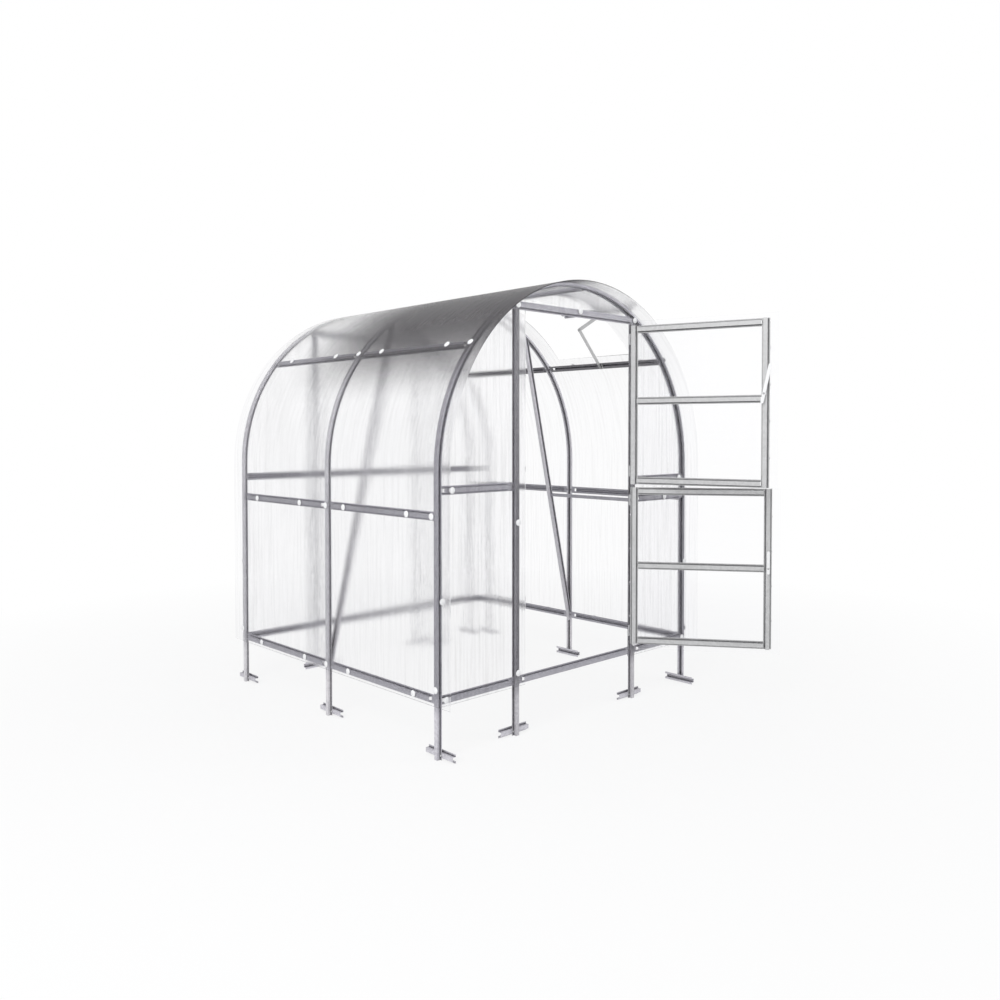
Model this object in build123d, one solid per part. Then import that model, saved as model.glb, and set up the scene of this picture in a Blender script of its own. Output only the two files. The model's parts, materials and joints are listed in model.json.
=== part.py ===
from build123d import *
import os
from math import atan2, cos, degrees, radians, sin, sqrt

# Arched walk-in greenhouse, in millimetres.
# X runs across the width, with the door leaves hung on the +X door post.
# Y runs along the length, with the door gable at -Y. Z is up.
# Shapes are drawn about the floor point under the middle arch. The saved parts have their
# origin at floor level under the middle of the whole box, as the leaves stand open.

# Whole frame
frame_width = 2000.0
bay_length = 940.0
arch_count = 3
spring_height = 1367.0
door_post_spacing = 950.0

# Steel hat profile: a raised crown with a flange on each side
hat_width = 44.0
crown_width = 22.0
hat_depth = 20.0
steel = 1.0
bare_end = 38.0
seat_gap = 0.2

# Heights of rail centre lines above the floor
base_rail_height = 282.0
side_rail_height = 1159.0
gable_rail_height = 1282.0
hinge_rail_height = 1171.0
header_height = 2207.0
purlin_angle = 39.0

# From the saved origin back to the middle arch
origin_to_middle_arch = 365.0

# Feet
foot_length = 200.0

# Twin-wall sheets
sheet = 4.0
cover_overhang = 110.0
sheet_bottom = 256.0
panel_inset = 4.0
panel_seam = 2.0
doorway_lap = 30.0

# Struts of the middle arch, and the flat bar that ties the right one to the hinge post
strut_foot_height = 304.0
strut_head_offset = 549.0
tie_strut_height = 1133.0
tie_post_height = 1160.0
tie_width = 21.0
tie_thickness = 3.0
tie_bend = 30.0

# Roof hatch, standing open on its stay
hatch_open_angle = 24.0
hatch_hinge_angle = 84.5
hatch_hinge_rail_angle = 86.0
hatch_top_angle = 81.5
hatch_bottom_angle = 42.5
hatch_front_margin = 222.0
hatch_rear_margin = 122.0
hatch_sheet_lap = 20.0
hatch_lower_lap = 35.0
hatch_hinge_setback = 17.5
hatch_bar_clearance = 14.0
hatch_bar_end_clearance = 6.0
hatch_seal_gap = 0.4
hatch_hinge_count = 3
hatch_hinge_length = 60.0
hatch_hinge_reach = 34.0
hatch_plate_dip = 0.4

# Folding stay of the hatch
stay_width = 22.0
stay_thickness = 3.0
stay_lower_link = 300.0
stay_upper_link = 252.0
stay_plate_length = 30.0
stay_weld = 1.0
rivet_radius = 5.0
rivet_stand_out = 3.0

# Door leaves
leaf_width = 790.0
leaf_height = 909.0
lower_leaf_bottom = 333.0
leaf_gap = 18.0
upper_leaf_open_angle = 106.7
lower_leaf_open_angle = 125.9
leaf_hinge_edge = 415.0
leaf_setback = 10.0
upper_mid_rail_height = 1738.0
lower_mid_rail_height = 790.0
leaf_sheet_side_lap = 46.0
leaf_sheet_end_lap = 28.0
leaf_sheet_meeting_lap = 5.0

# Door hinges
knuckle_radius = 5.0
pin_radius = 2.5
pin_clearance = 0.1
hinge_length = 60.0
hinge_end_distance = 75.0
hinge_plate_thickness = 2.0
hinge_plate_reach = 44.0
knuckle_gap = 0.5
pin_side_gap = 1.5

# Turning latches on the free stiles
latch_width = 16.0
latch_thickness = 7.0
latch_standoff = 16.0
latch_pivot_share = 0.25
upper_latch_length = 215.0
upper_latch_tilt = 12.0
upper_latch_height = 1765.0
lower_latch_length = 130.0
lower_latch_tilt = 0.0
lower_latch_height = 795.0

# Sizes that follow from the ones above
crown_radius = frame_width / 2
flange_radius = crown_radius - hat_depth
rail_depth = hat_depth - steel
half_length = bay_length * (arch_count - 1) / 2
arch_positions = [bay_length * i - half_length for i in range(arch_count)]
post_x = door_post_spacing / 2
gable_plane = half_length + hat_width / 2
web = crown_width / 2
half_hat = hat_width / 2
lap_clear = web + seat_gap
hinge_x = leaf_hinge_edge + knuckle_radius + pin_side_gap
leaf_face = gable_plane + leaf_setback
hinge_y = -(leaf_face + sheet + hinge_plate_thickness - knuckle_radius)
upper_leaf_bottom = lower_leaf_bottom + leaf_height + leaf_gap
hatch_hinge_radius = crown_radius + sheet + knuckle_radius + seat_gap
hatch_y_low = arch_positions[0] + hatch_front_margin
hatch_y_high = arch_positions[1] - hatch_rear_margin
front_bay_middle = arch_positions[0] + bay_length / 2
hatch_inner_radius = crown_radius + sheet + hatch_seal_gap

UP = Vector(0, 0, 1)


def hat_face(plane, depth=hat_depth):
    """Hat section. Local x runs across it, local y from the crown's face to the flanges."""
    a, b, d, t = web, half_hat, depth, steel
    with BuildSketch(plane) as section:
        with BuildLine():
            Polyline(
                (-a, 0), (a, 0), (a, d - t), (b, d - t), (b, d), (a - t, d), (a - t, t),
                (t - a, t), (t - a, d), (-b, d), (-b, d - t), (-a, d - t), close=True,
            )
        make_face()
    return section.sketch


def bar_plane(start, along, outward):
    """Plane square to a bar, with its local y pointing in from the bar's outward side."""
    inward = Vector(*outward) * -1
    across = inward.cross(Vector(*along))
    return Plane(origin=start, x_dir=across, z_dir=along)


def hat_bar(start, along, outward, length, depth=hat_depth):
    return extrude(hat_face(bar_plane(start, along, outward), depth), length)


def rail(start, along, outward, length, depth=rail_depth):
    """Hat rail with flat ends: the crown stops short and the flange plate runs on."""
    plane = bar_plane(start, along, outward)
    inner_length = length - 2 * bare_end
    crown = extrude(hat_face(plane.offset(bare_end), depth), inner_length)
    plate = Box(hat_width, steel, length, align=(Align.CENTER, Align.MIN, Align.MIN))
    ends = plane * Pos(0, depth - steel, 0) * plate
    middle = Box(crown_width - 2 * steel, steel, inner_length, align=(Align.CENTER, Align.MIN, Align.MIN))
    hollow = plane * Pos(0, depth - steel, bare_end) * middle
    return crown + (ends - hollow)


def ring_sector(inner, outer, y_from, y_to, low_angle, high_angle):
    """Curved slab about the arch centre, between two angles up from +X."""
    width = y_to - y_from
    with BuildSketch(Plane.XY.offset(spring_height)) as section:
        with Locations((inner, y_from)):
            Rectangle(outer - inner, width, align=(Align.MIN, Align.MIN))
    axis = Axis((0, 0, spring_height), (0, -1, 0))
    face = section.sketch.rotate(axis, low_angle)
    return revolve(face, axis, high_angle - low_angle)


def arch_shell(inner, outer, y_from, y_to, bottom):
    """Tunnel-shaped slab: half a ring on two straight walls that reach down to bottom."""
    ring = ring_sector(inner, outer, y_from, y_to, 0, 180)
    leg = Box(outer - inner, y_to - y_from, spring_height - bottom, align=(Align.MIN, Align.MIN, Align.MIN))
    right = Pos(inner, y_from, bottom) * leg
    left = Pos(-outer, y_from, bottom) * leg
    return ring + right + left


def tunnel(radius, y_from, y_to, bottom):
    """Solid block that fills the inside of an arch of the given radius."""
    length = y_to - y_from
    half = Cylinder(radius, length, rotation=(90, 0, 0), align=(Align.CENTER, Align.CENTER, Align.CENTER))
    half = Pos(0, (y_from + y_to) / 2, spring_height) * half
    walls = Box(2 * radius, length, spring_height - bottom, align=(Align.CENTER, Align.MIN, Align.MIN))
    return half + Pos(0, y_from, bottom) * walls


def joined(*solids):
    """Separate solids of one node, kept apart."""
    found = []
    for item in solids:
        found.extend(item.solids())
    return Compound(children=found)


def save(name, shape):
    """Write one node, with each solid moved to the saved origin."""
    place = Location((0, origin_to_middle_arch, 0))
    placed = joined(*[solid.moved(place) for solid in shape.solids()])
    export_step(placed, f"parts/{name}.step")


def arch(y):
    """One hoop: two straight legs and half a circle, crown outward."""
    left, right = [hat_bar((side * crown_radius, y, 0), UP, (side, 0, 0), spring_height) for side in (-1, 1)]
    spring = bar_plane((crown_radius, y, spring_height), UP, (1, 0, 0))
    hoop = revolve(hat_face(spring), Axis((0, y, spring_height), (0, -1, 0)), 180)
    return left + hoop + right


def arch_feet():
    feet = []
    for y in arch_positions:
        for side in (-1, 1):
            start = (side * flange_radius, y - foot_length / 2, half_hat)
            feet.append(hat_bar(start, (0, 1, 0), (side, 0, 0), foot_length))
    return joined(*feet)


def gable_side(end):
    """Outward direction of a gable, where end is -1 at the door gable and 1 at the rear one."""
    return (0, end, 0)


def inside_crowns():
    """Space inside the crowns of the arches, which the flat ends of gable pieces reach into."""
    return tunnel(crown_radius - steel - seat_gap, -gable_plane, gable_plane, 0)


def post(end, side):
    """Door post: a hat from the floor to the header, then a flat plate up into the arch."""
    y = end * gable_plane
    shaft = hat_bar((side * post_x, y, 0), UP, gable_side(end), header_height - half_hat)
    plate = Box(hat_width, steel, hat_width, align=(Align.CENTER, Align.CENTER, Align.MIN))
    plate_y = end * (gable_plane - hat_depth + steel / 2)
    head = Pos(side * post_x, plate_y, header_height - half_hat) * plate
    return shaft + (head & inside_crowns())


def post_feet(end):
    feet = []
    for side in (-1, 1):
        start = (side * post_x - foot_length / 2, end * (gable_plane - hat_depth), half_hat)
        feet.append(hat_bar(start, (1, 0, 0), gable_side(end), foot_length))
    return joined(*feet)


def side_rails(side, height):
    """Rails of one long wall, one to each bay, lapped on the flanges of the arches."""
    rails = []
    for y in arch_positions[:-1]:
        start = (side * crown_radius, y + lap_clear, height)
        rails.append(rail(start, (0, 1, 0), (side, 0, 0), bay_length - 2 * lap_clear))
    return joined(*rails)


def crown_inside(radius):
    """Distance from the arch centre at which a flat crown just stays inside a circle."""
    return sqrt(radius ** 2 - web ** 2)


def roof_point(radius, angle):
    """X and Z of a point about the arch centre, at an angle up from +X."""
    return radius * cos(radians(angle)), spring_height + radius * sin(radians(angle))


def roof_normal(angle):
    return Vector(cos(radians(angle)), 0, sin(radians(angle)))


def roof_rail(angle, y):
    """Rail of one bay on the curved roof, at an angle up from +X."""
    radius = crown_inside(crown_radius)
    x, z = roof_point(radius, angle)
    depth = radius - (crown_radius - rail_depth)
    return rail((x, y + lap_clear, z), (0, 1, 0), roof_normal(angle), bay_length - 2 * lap_clear, depth)


def purlins(angle):
    return joined(*[roof_rail(angle, y) for y in arch_positions[:-1]])


def gable_rail(end, x_from, x_to, height):
    start = (x_from, end * gable_plane, height)
    return rail(start, (1, 0, 0), gable_side(end), x_to - x_from)


def gable_rail_row(end, height, across_doorway):
    """Rails of one gable at one height, between the legs and the posts."""
    leg_end = crown_radius - steel - seat_gap
    spans = [(-leg_end, -post_x - lap_clear), (post_x + lap_clear, leg_end)]
    if across_doorway:
        spans.append((-post_x + lap_clear, post_x - lap_clear))
    return joined(*[gable_rail(end, a, b, height) for a, b in spans])


def header(end):
    """Rail over the posts. Its flat ends lie on the plates of the posts, in the hollow of the arch."""
    reach = post_x + half_hat
    return gable_rail(end, -reach, reach, header_height) & inside_crowns()


def strut_run():
    """Way of the right strut's outer face, from the leg up to the roof."""
    head_z = spring_height + sqrt(flange_radius ** 2 - strut_head_offset ** 2)
    return Vector(strut_head_offset - flange_radius, 0, head_z - strut_foot_height)


def struts():
    """Two straight bars in the plane of the middle arch, cut to the inside of its legs and roof."""
    run = strut_run()
    spare = 3 * hat_depth
    inside = tunnel(flange_radius, -half_hat, half_hat, 0)
    bars = []
    for side in (-1, 1):
        along = Vector(side * run.X, 0, run.Z).normalized()
        inward = Vector(-side * along.Z, 0, side * along.X)
        foot = Vector(side * flange_radius, 0, strut_foot_height) - along * spare + inward * hat_depth
        bar = hat_bar(foot, along, inward, run.length + 2 * spare)
        bars.append(bar & inside)
    return joined(*bars)


def tie():
    """Flat bar on edge, from the right strut to the right door post, with an end bent flat on each."""
    run = strut_run()
    flange_x = flange_radius + run.X * (tie_strut_height + tie_width / 2 - strut_foot_height) / run.Z
    strut_x = flange_x - 2 * steel - tie_thickness / 2
    post_y = arch_positions[0] - half_hat + hat_depth + seat_gap + tie_thickness / 2
    first = Vector(strut_x, -lap_clear, tie_strut_height)
    second = first - Vector(0, tie_bend, 0)
    third = Vector(post_x + tie_bend, post_y, tie_post_height)
    fourth = third - Vector(tie_bend + lap_clear, 0, 0)
    bar = tie_piece(first, second)
    bar += tie_piece(second, third)
    bar += tie_piece(third, fourth)
    return bar


def tie_piece(start, end):
    """Straight stretch of the tie bar, its broad side upright."""
    way = end - start
    plane = Plane(origin=start, x_dir=way, z_dir=way.cross(UP))
    return plane * Box(way.length, tie_width, tie_thickness, align=(Align.MIN, Align.CENTER, Align.CENTER))


def cover():
    """The sheet bent over all arches, with the hatch opening cut in its right slope."""
    y_end = half_length + cover_overhang
    outer = crown_radius + sheet
    shell = arch_shell(crown_radius, outer, -y_end, y_end, sheet_bottom)
    hole = ring_sector(
        crown_radius - sheet, outer + sheet, hatch_y_low, hatch_y_high, hatch_bottom_angle, hatch_top_angle,
    )
    return shell - hole


def gable_sheet(end, x_from, x_to, z_from, z_to):
    """Flat sheet of a gable, cut to the inside of the bent cover."""
    y_from = min(end * gable_plane, end * (gable_plane + sheet))
    block = Box(x_to - x_from, sheet, z_to - z_from, align=(Align.MIN, Align.MIN, Align.MIN))
    outline = tunnel(crown_radius - panel_inset, y_from, y_from + sheet, 0)
    return Pos(x_from, y_from, z_from) * block & outline


def arc_angle(length, radius):
    """Angle in degrees that a length spans on a circle."""
    return degrees(length / radius)


def turn_hatch(shape):
    """Swing a hatch piece from shut to open about its hinge line."""
    x, z = roof_point(hatch_hinge_radius, hatch_hinge_angle)
    return shape.rotate(Axis((x, 0, z), (0, -1, 0)), hatch_open_angle)


def hatch_bar_angles():
    """Angles of the lower and upper bar, each clear of its edge of the opening."""
    offset = arc_angle(half_hat + hatch_bar_clearance, flange_radius)
    return hatch_bottom_angle + offset, hatch_top_angle - offset


def hatch_sheet():
    low = hatch_bottom_angle - arc_angle(hatch_lower_lap, crown_radius)
    high = hatch_hinge_angle - arc_angle(hatch_hinge_setback, crown_radius)
    y_low = hatch_y_low - hatch_sheet_lap
    y_high = hatch_y_high + hatch_sheet_lap
    return turn_hatch(ring_sector(hatch_inner_radius, hatch_inner_radius + sheet, y_low, y_high, low, high))


def hatch_bars():
    """Lower and upper bars of the hatch, along the length of the house."""
    start_y = hatch_y_low + hatch_bar_end_clearance
    length = hatch_y_high - hatch_y_low - 2 * hatch_bar_end_clearance
    bars = []
    for angle in hatch_bar_angles():
        x, z = roof_point(crown_inside(hatch_inner_radius), angle)
        bars.append(turn_hatch(hat_bar((x, start_y, z), (0, 1, 0), roof_normal(angle), length)))
    return joined(*bars)


def hatch_rib():
    """Curved rib of the hatch in the middle of the bay, between its two bars."""
    radius = crown_inside(hatch_inner_radius)
    low, high = hatch_bar_angles()
    half_bar = arc_angle(half_hat, radius - hat_depth)
    axis = Axis((0, front_bay_middle, spring_height), (0, -1, 0))
    plane = bar_plane((radius, front_bay_middle, spring_height), UP, (1, 0, 0))
    face = hat_face(plane).rotate(axis, low + half_bar)
    return turn_hatch(revolve(face, axis, high - low - 2 * half_bar))


def stay_link(start, end, y):
    """Flat link with round eyes between two points, each given by X and Z."""
    run = Vector(end[0] - start[0], 0, end[1] - start[1])
    middle = Vector((start[0] + end[0]) / 2, y, (start[1] + end[1]) / 2)
    turn = -degrees(atan2(run.Z, run.X))
    link = Pos(middle) * Rot(0, turn, 0) * Box(run.length, stay_thickness, stay_width)
    for x, z in (start, end):
        link += Pos(x, y, z) * Rot(90, 0, 0) * Cylinder(stay_width / 2, stay_thickness)
    return link


def stay_plate(radius, angle):
    """Plate that closes a bar's hollow side, where a link is welded on."""
    size = (hat_width, stay_plate_length, hinge_plate_thickness)
    x, z = roof_point(radius, angle)
    plate = Box(*size, align=(Align.CENTER, Align.CENTER, Align.MAX))
    return Pos(x, front_bay_middle, z) * Rot(0, 90 - angle, 0) * plate


def stay_elbow(foot, head):
    """Pin of the two links, on the inner side of the straight way from foot to head."""
    run_x = head[0] - foot[0]
    run_z = head[1] - foot[1]
    span = sqrt(run_x ** 2 + run_z ** 2)
    along = (stay_lower_link ** 2 - stay_upper_link ** 2 + span ** 2) / (2 * span)
    aside = sqrt(stay_lower_link ** 2 - along ** 2)
    x = foot[0] + (run_x * along - run_z * aside) / span
    z = foot[1] + (run_z * along + run_x * aside) / span
    return x, z


def hatch_stay():
    """Folding stay: one link on the purlin, one on the hatch's lower bar, pinned at the elbow."""
    bar_angle = hatch_bar_angles()[0]
    foot_radius = crown_radius - rail_depth - seat_gap
    head_radius = crown_inside(hatch_inner_radius) - hat_depth - seat_gap
    eye_drop = hinge_plate_thickness + stay_width / 2 - stay_weld
    foot = roof_point(foot_radius - eye_drop, purlin_angle)
    shut_x, shut_z = roof_point(head_radius - eye_drop, bar_angle)
    opened = turn_hatch(Pos(shut_x, front_bay_middle, shut_z) * Sphere(rivet_radius)).center()
    head = (opened.X, opened.Z)
    elbow = stay_elbow(foot, head)
    rivet = Cylinder(rivet_radius, 2 * (stay_thickness + rivet_stand_out))
    stay = stay_plate(foot_radius, purlin_angle) + turn_hatch(stay_plate(head_radius, bar_angle))
    stay += stay_link(foot, elbow, front_bay_middle - stay_thickness / 2)
    stay += stay_link(elbow, head, front_bay_middle + stay_thickness / 2)
    return stay + Pos(elbow[0], front_bay_middle, elbow[1]) * Rot(90, 0, 0) * rivet


def hatch_hinge(y):
    """Butt hinge of the hatch: plate on the cover, barrel, and plate on the hatch sheet."""
    tilt = 90 - hatch_hinge_angle
    size = (hatch_hinge_reach, hatch_hinge_length, hinge_plate_thickness)
    x, z = roof_point(crown_radius + sheet, hatch_hinge_angle)
    fixed = Pos(x, y, z) * Rot(0, tilt, 0) * Box(*size, align=(Align.MAX, Align.CENTER, Align.MIN))
    x, z = roof_point(hatch_hinge_radius, hatch_hinge_angle)
    barrel = Pos(x, y, z) * Rot(90, 0, 0) * Cylinder(knuckle_radius, hatch_hinge_length)
    x, z = roof_point(hatch_inner_radius + sheet, hatch_hinge_angle)
    shut = Box(*size, align=(Align.MIN, Align.CENTER, Align.MIN))
    moving = turn_hatch(Pos(x, y, z) * Rot(0, tilt + hatch_plate_dip, 0) * shut)
    return fixed + barrel + moving


def hatch_hinges():
    first = hatch_y_low + hatch_hinge_length
    step = (hatch_y_high - hatch_y_low - 2 * hatch_hinge_length) / (hatch_hinge_count - 1)
    return joined(*[hatch_hinge(first + i * step) for i in range(hatch_hinge_count)])


def open_leaf(shape, angle):
    """Swing a door piece from shut to open about the hinge line."""
    return shape.rotate(Axis((hinge_x, hinge_y, 0), (0, 0, 1)), angle)


def leaf_outline(bottom):
    """Leaf frame corners: left edge, right edge, bottom, top."""
    return leaf_hinge_edge - leaf_width, leaf_hinge_edge, bottom, bottom + leaf_height


def leaf_stiles(bottom, angle):
    left, right, low, high = leaf_outline(bottom)
    bars = []
    for x in (left + half_hat, right - half_hat):
        bar = hat_bar((x, hat_depth - leaf_face, low), UP, (0, 1, 0), high - low)
        bars.append(open_leaf(bar, angle))
    return joined(*bars)


def leaf_rails(bottom, mid_height, angle):
    left, right, low, high = leaf_outline(bottom)
    bars = []
    for z in (low + half_hat, mid_height, high - half_hat):
        start = (left + hat_width, hat_depth - leaf_face, z)
        bar = hat_bar(start, (1, 0, 0), (0, 1, 0), leaf_width - 2 * hat_width)
        bars.append(open_leaf(bar, angle))
    return joined(*bars)


def leaf_sheet(bottom, low_lap, high_lap, angle):
    """Clear sheet on the outside of a leaf, wider than its frame on the free side."""
    left, right, low, high = leaf_outline(bottom)
    width = right - left + leaf_sheet_side_lap
    height = high - low + low_lap + high_lap
    block = Box(width, sheet, height, align=(Align.MAX, Align.MAX, Align.MIN))
    return open_leaf(Pos(right, -leaf_face, low - low_lap) * block, angle)


def hinge_heights(bottom):
    return [bottom + hinge_end_distance, bottom + leaf_height - hinge_end_distance]


def knuckle(z_low, z_high, radius=knuckle_radius):
    barrel = Cylinder(radius, z_high - z_low, align=(Align.CENTER, Align.CENTER, Align.MIN))
    return Pos(hinge_x, hinge_y, z_low) * barrel


def fixed_hinges():
    """Post halves of the door hinges: plate, two end knuckles and the pin."""
    hinges = []
    third = hinge_length / 3
    for bottom in (lower_leaf_bottom, upper_leaf_bottom):
        for z in hinge_heights(bottom):
            low = z - hinge_length / 2
            plate = Box(
                hinge_plate_reach, hinge_plate_thickness, hinge_length,
                align=(Align.MIN, Align.MAX, Align.CENTER),
            )
            plate_y = -(gable_plane + sheet)
            body = Pos(hinge_x + knuckle_radius, plate_y, z) * plate
            body += knuckle(low, low + hinge_length, pin_radius)
            for start in (low, low + 2 * third):
                size = (knuckle_radius, hinge_plate_thickness, third)
                tongue = Pos(hinge_x, plate_y, start) * Box(*size, align=(Align.MIN, Align.MAX, Align.MIN))
                body += knuckle(start, start + third) + tongue
            hinges.append(body)
    return joined(*hinges)


def moving_hinges(bottom, angle):
    """Leaf halves of the door hinges: plate and middle knuckle, bored for the pin."""
    hinges = []
    third = hinge_length / 3
    for z in hinge_heights(bottom):
        low = z - third / 2 + knuckle_gap
        high = z + third / 2 - knuckle_gap
        block = Box(
            hinge_plate_reach, hinge_plate_thickness, high - low,
            align=(Align.MAX, Align.MAX, Align.MIN),
        )
        plate = Pos(hinge_x, -(leaf_face + sheet), low) * block
        cut_back = knuckle_radius + pin_side_gap
        tall = Box(
            hinge_plate_reach - cut_back, hinge_plate_thickness, hinge_length,
            align=(Align.MAX, Align.MAX, Align.CENTER),
        )
        body = plate + Pos(hinge_x - cut_back, -(leaf_face + sheet), z) * tall + knuckle(low, high)
        body -= knuckle(low - knuckle_gap, high + knuckle_gap, pin_radius + pin_clearance)
        hinges.append(open_leaf(body, angle))
    return joined(*hinges)


def latch(height, length, tilt, angle):
    """Turning latch on the inside of a free stile: a round-ended lever on a boss."""
    x = leaf_hinge_edge - leaf_width + half_hat
    crown_y = hat_depth - leaf_face
    straight = length - latch_width
    lever = Box(latch_width, latch_thickness, straight)
    for z in (-straight / 2, straight / 2):
        lever += Pos(0, 0, z) * Rot(90, 0, 0) * Cylinder(latch_width / 2, latch_thickness)
    lift = length * (0.5 - latch_pivot_share)
    lever = Rot(0, -tilt, 0) * Pos(0, latch_standoff + latch_thickness / 2, lift) * lever
    boss = Cylinder(latch_width / 2, latch_standoff - seat_gap, align=(Align.CENTER, Align.CENTER, Align.MIN))
    lever += Pos(0, seat_gap, 0) * Rot(-90, 0, 0) * boss
    return open_leaf(Pos(x, crown_y, height) * lever, angle)


def main():
    os.makedirs("parts", exist_ok=True)
    for name, y in zip(("front", "middle", "rear"), arch_positions):
        save(f"{name}_arch", arch(y))
    save("arch_feet", arch_feet())
    save("middle_struts", struts())
    save("right_tie_bar", tie())
    for name, end in (("front", -1), ("rear", 1)):
        save(f"{name}_posts", joined(post(end, -1), post(end, 1)))
        save(f"{name}_post_feet", post_feet(end))
        save(f"{name}_header", header(end))
        save(f"{name}_base_rails", gable_rail_row(end, base_rail_height, True))
        save(f"{name}_mid_rails", gable_rail_row(end, gable_rail_height, end == 1))
    for name, side in (("left", -1), ("right", 1)):
        save(f"{name}_base_rails", side_rails(side, base_rail_height))
        save(f"{name}_mid_rails", side_rails(side, side_rail_height))
    leg_end = crown_radius - steel - seat_gap
    save("front_hinge_rail", gable_rail(-1, post_x + lap_clear, leg_end, hinge_rail_height))
    save("left_purlins", purlins(180 - purlin_angle))
    save("right_purlins", purlins(purlin_angle))
    save("hatch_hinge_rail", roof_rail(hatch_hinge_rail_angle, arch_positions[0]))
    save("cover_sheet", cover())

    doorway = post_x - half_hat - doorway_lap
    panel_top = header_height - half_hat
    lunette_bottom = panel_top + panel_seam
    roof_top = spring_height + crown_radius
    save("front_left_panel", gable_sheet(-1, -crown_radius, -doorway, sheet_bottom, panel_top))
    save("front_right_panel", gable_sheet(-1, doorway, crown_radius, sheet_bottom, panel_top))
    save("front_top_panel", gable_sheet(-1, -crown_radius, crown_radius, lunette_bottom, roof_top))
    edges = (-crown_radius, -post_x, post_x, crown_radius)
    for i, name in enumerate(("left", "centre", "right")):
        x_from = edges[i] + panel_seam / 2
        x_to = edges[i + 1] - panel_seam / 2
        save(f"rear_{name}_panel", gable_sheet(1, x_from, x_to, sheet_bottom, panel_top))
    save("rear_top_panel", gable_sheet(1, -crown_radius, crown_radius, lunette_bottom, roof_top))

    save("hatch_sheet", hatch_sheet())
    save("hatch_bars", hatch_bars())
    save("hatch_rib", hatch_rib())
    save("hatch_stay", hatch_stay())
    save("hatch_hinges", hatch_hinges())

    save("door_hinge_plates", fixed_hinges())
    for name, bottom, mid_height, angle in (
        ("upper", upper_leaf_bottom, upper_mid_rail_height, upper_leaf_open_angle),
        ("lower", lower_leaf_bottom, lower_mid_rail_height, lower_leaf_open_angle),
    ):
        save(f"{name}_leaf_stiles", leaf_stiles(bottom, angle))
        save(f"{name}_leaf_rails", leaf_rails(bottom, mid_height, angle))
        save(f"{name}_leaf_hinges", moving_hinges(bottom, angle))
    ends = (leaf_sheet_end_lap, leaf_sheet_meeting_lap)
    save("upper_leaf_sheet", leaf_sheet(upper_leaf_bottom, ends[1], ends[0], upper_leaf_open_angle))
    save("lower_leaf_sheet", leaf_sheet(lower_leaf_bottom, ends[0], ends[1], lower_leaf_open_angle))
    upper_lever = latch(upper_latch_height, upper_latch_length, upper_latch_tilt, upper_leaf_open_angle)
    lower_lever = latch(lower_latch_height, lower_latch_length, lower_latch_tilt, lower_leaf_open_angle)
    save("upper_latch", upper_lever)
    save("lower_latch", lower_lever)


main()
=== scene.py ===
# %% [markdown]
# # The looks of an arched walk-in greenhouse
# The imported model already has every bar, sheet, hinge and latch at its true size.
# This lesson keeps those shapes and gives them finishes: galvanised steel, clear twin-wall
# sheet with fine flutes, and white plastic. Then it adds the small fixings that the model
# leaves out: sealing washers, bolts, nuts, rivets and screws.

# %% Load the frame
import json
import math

import bpy
import numpy as np
from mathutils import Euler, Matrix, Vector


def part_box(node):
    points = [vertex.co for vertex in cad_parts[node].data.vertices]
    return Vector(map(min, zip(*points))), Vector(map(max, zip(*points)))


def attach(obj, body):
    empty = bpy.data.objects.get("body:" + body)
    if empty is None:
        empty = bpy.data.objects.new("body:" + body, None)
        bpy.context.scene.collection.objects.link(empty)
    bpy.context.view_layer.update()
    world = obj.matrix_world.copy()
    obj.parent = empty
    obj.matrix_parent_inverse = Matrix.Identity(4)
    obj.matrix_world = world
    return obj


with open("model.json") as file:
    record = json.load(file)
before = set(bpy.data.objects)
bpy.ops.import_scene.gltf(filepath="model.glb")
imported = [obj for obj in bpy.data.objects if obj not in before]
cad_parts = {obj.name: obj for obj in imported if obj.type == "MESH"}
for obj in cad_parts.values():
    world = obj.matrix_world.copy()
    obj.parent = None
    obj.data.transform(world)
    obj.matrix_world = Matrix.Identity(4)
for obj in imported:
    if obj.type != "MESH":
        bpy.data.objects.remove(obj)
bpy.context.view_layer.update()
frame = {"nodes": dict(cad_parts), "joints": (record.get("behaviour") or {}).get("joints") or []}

nodes = frame["nodes"]

# %% [markdown]
# ## Where things are
# The hoops are half circles on straight legs. Sizes are read from the model where a box
# gives them, so that the fixings land on the steel even if the model moves.

# %% Main places in metres
MM = 0.001


def middle_of(node):
    """Centre of a node's box."""
    low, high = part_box(node)
    return (low + high) / 2


hoop_y = {name: middle_of(name + "_arch").y for name in ("front", "middle", "rear")}
hoop_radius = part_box("middle_arch")[1].x
spring_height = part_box("middle_arch")[1].z - hoop_radius
sheet_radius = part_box("cover_sheet")[1].x
gable_face = {"front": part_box("front_top_panel")[0].y, "rear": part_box("rear_top_panel")[1].y}
low_rail = middle_of("left_base_rails").z
side_rail = middle_of("left_mid_rails").z
gable_rail = middle_of("front_mid_rails").z
hinge_rail = middle_of("front_hinge_rail").z
header = middle_of("front_header").z
post_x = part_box("front_posts")[1].x - 22 * MM
purlin_angle = math.radians(39)
print("hoops", hoop_y, "radius", round(hoop_radius, 4), "spring", round(spring_height, 4))

# %% [markdown]
# ## Camera
# The photograph was taken from the front left, a little above eye level. Its viewpoint,
# focal length and picture centre were solved from the frame's straight lines. The camera
# repeats them. The lens shift only places the picture's centre.

# %% Camera
camera_data = bpy.data.cameras.new("camera")
camera_data.sensor_width = 36
camera_data.lens = 32.346
camera_data.shift_x = -0.0049
camera_data.shift_y = -0.0441
camera = bpy.data.objects.new("camera", camera_data)
camera.location = (-3.6911, hoop_y["middle"] - 4.2214, 1.5573)
camera.rotation_euler = Euler((math.radians(90 - 1.4885), 0, math.radians(-43.797)))
bpy.context.scene.collection.objects.link(camera)
bpy.context.scene.camera = camera
print("camera at", tuple(round(v, 3) for v in camera.location))

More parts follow.
